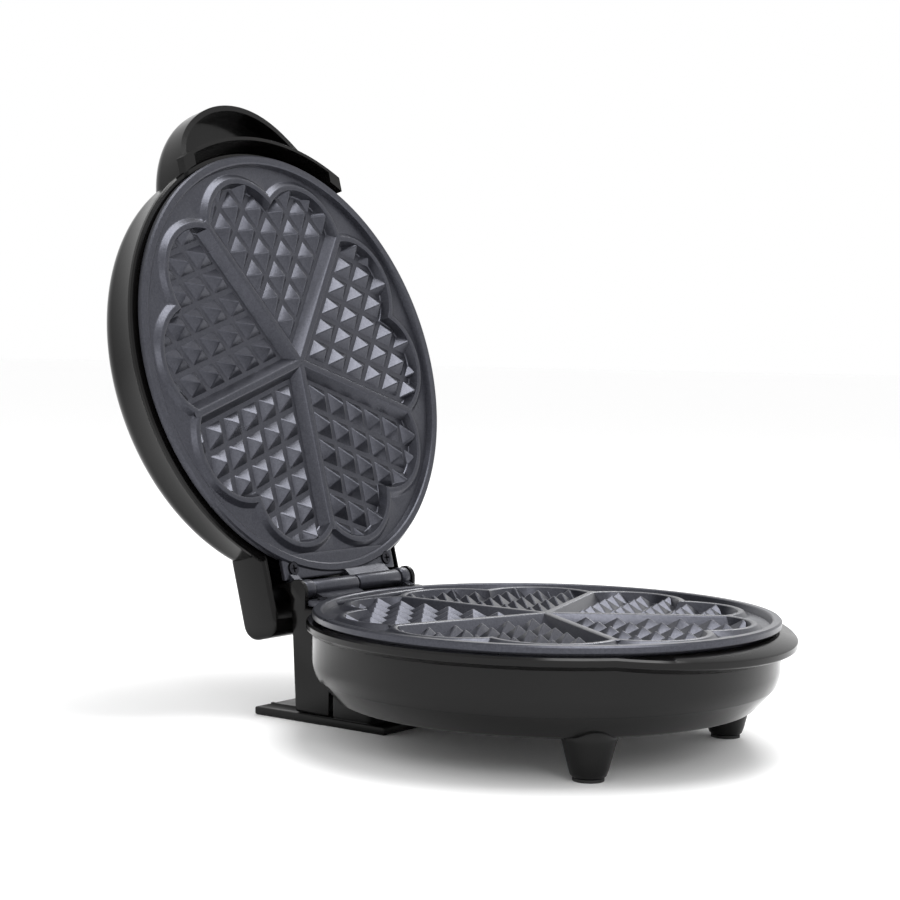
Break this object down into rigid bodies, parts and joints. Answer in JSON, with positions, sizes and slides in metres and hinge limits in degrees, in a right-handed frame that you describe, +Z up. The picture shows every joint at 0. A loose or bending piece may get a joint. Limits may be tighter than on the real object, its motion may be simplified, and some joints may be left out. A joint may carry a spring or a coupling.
{
  "type": "waffle maker",
  "caption": "Round heart waffle maker with two hinged non-stick plates, plastic casings, a handle hood and feet.",
  "frame": {"origin": "on the table, straight under the hinge axis, midway between the two sides; this is a point of the rear foot plate's underside", "axes": "+Z up, -Y towards the handle (front), +X along the hinge axis"},
  "size_m": [0.195, 0.2922, 0.267],
  "materials": {
    "casing": "gloss black moulded plastic",
    "feet": "satin black moulded plastic",
    "pads": "matt rubber",
    "plate": "dark blue-grey non-stick coating on die-cast aluminium",
    "element": "oxidised steel tube",
    "bright_steel": "zinc plated",
    "dark_steel": "blackened",
    "shield": "rolled sheet",
    "ceramic": "fired steatite",
    "lamp": "clear red plastic lens",
    "board": "paper laminate board"
  },
  "bodies": {
    "base": {"base_shell": "casing", "base_cover": "casing", "tower_cover": "feet", "foot_plate": "feet", "front_feet": "feet", "foot_pads": "pads", "cord_bush": "pads", "lower_plate": "plate", "lower_element": "element", "lower_element_clamps": "bright_steel", "lower_heat_shield": "shield", "lower_tab_screws": "dark_steel", "base_cover_screws": "dark_steel", "foot_plate_screws": "dark_steel", "thermostat": "ceramic", "thermal_fuse": "bright_steel", "terminal_block": "ceramic", "hinge_pin": "bright_steel", "pin_clips": "bright_steel"},
    "lid": {"lid_shell": "casing", "finger_guard": "casing", "grip_liner": "feet", "upper_plate": "plate", "upper_element": "element", "upper_element_clamps": "bright_steel", "upper_heat_shield": "shield", "upper_tab_screws": "dark_steel", "upper_shield_screws": "dark_steel", "lamp_lenses": "lamp", "lamp_holder": "board"}
  },
  "joints": [
    {"name": "lid_hinge", "type": "hinge", "parent": "base", "child": "lid", "pos_m": [0, 0, 0.0553], "axis": [1, 0, 0], "range_deg": [0, 105.3]}
  ]
}
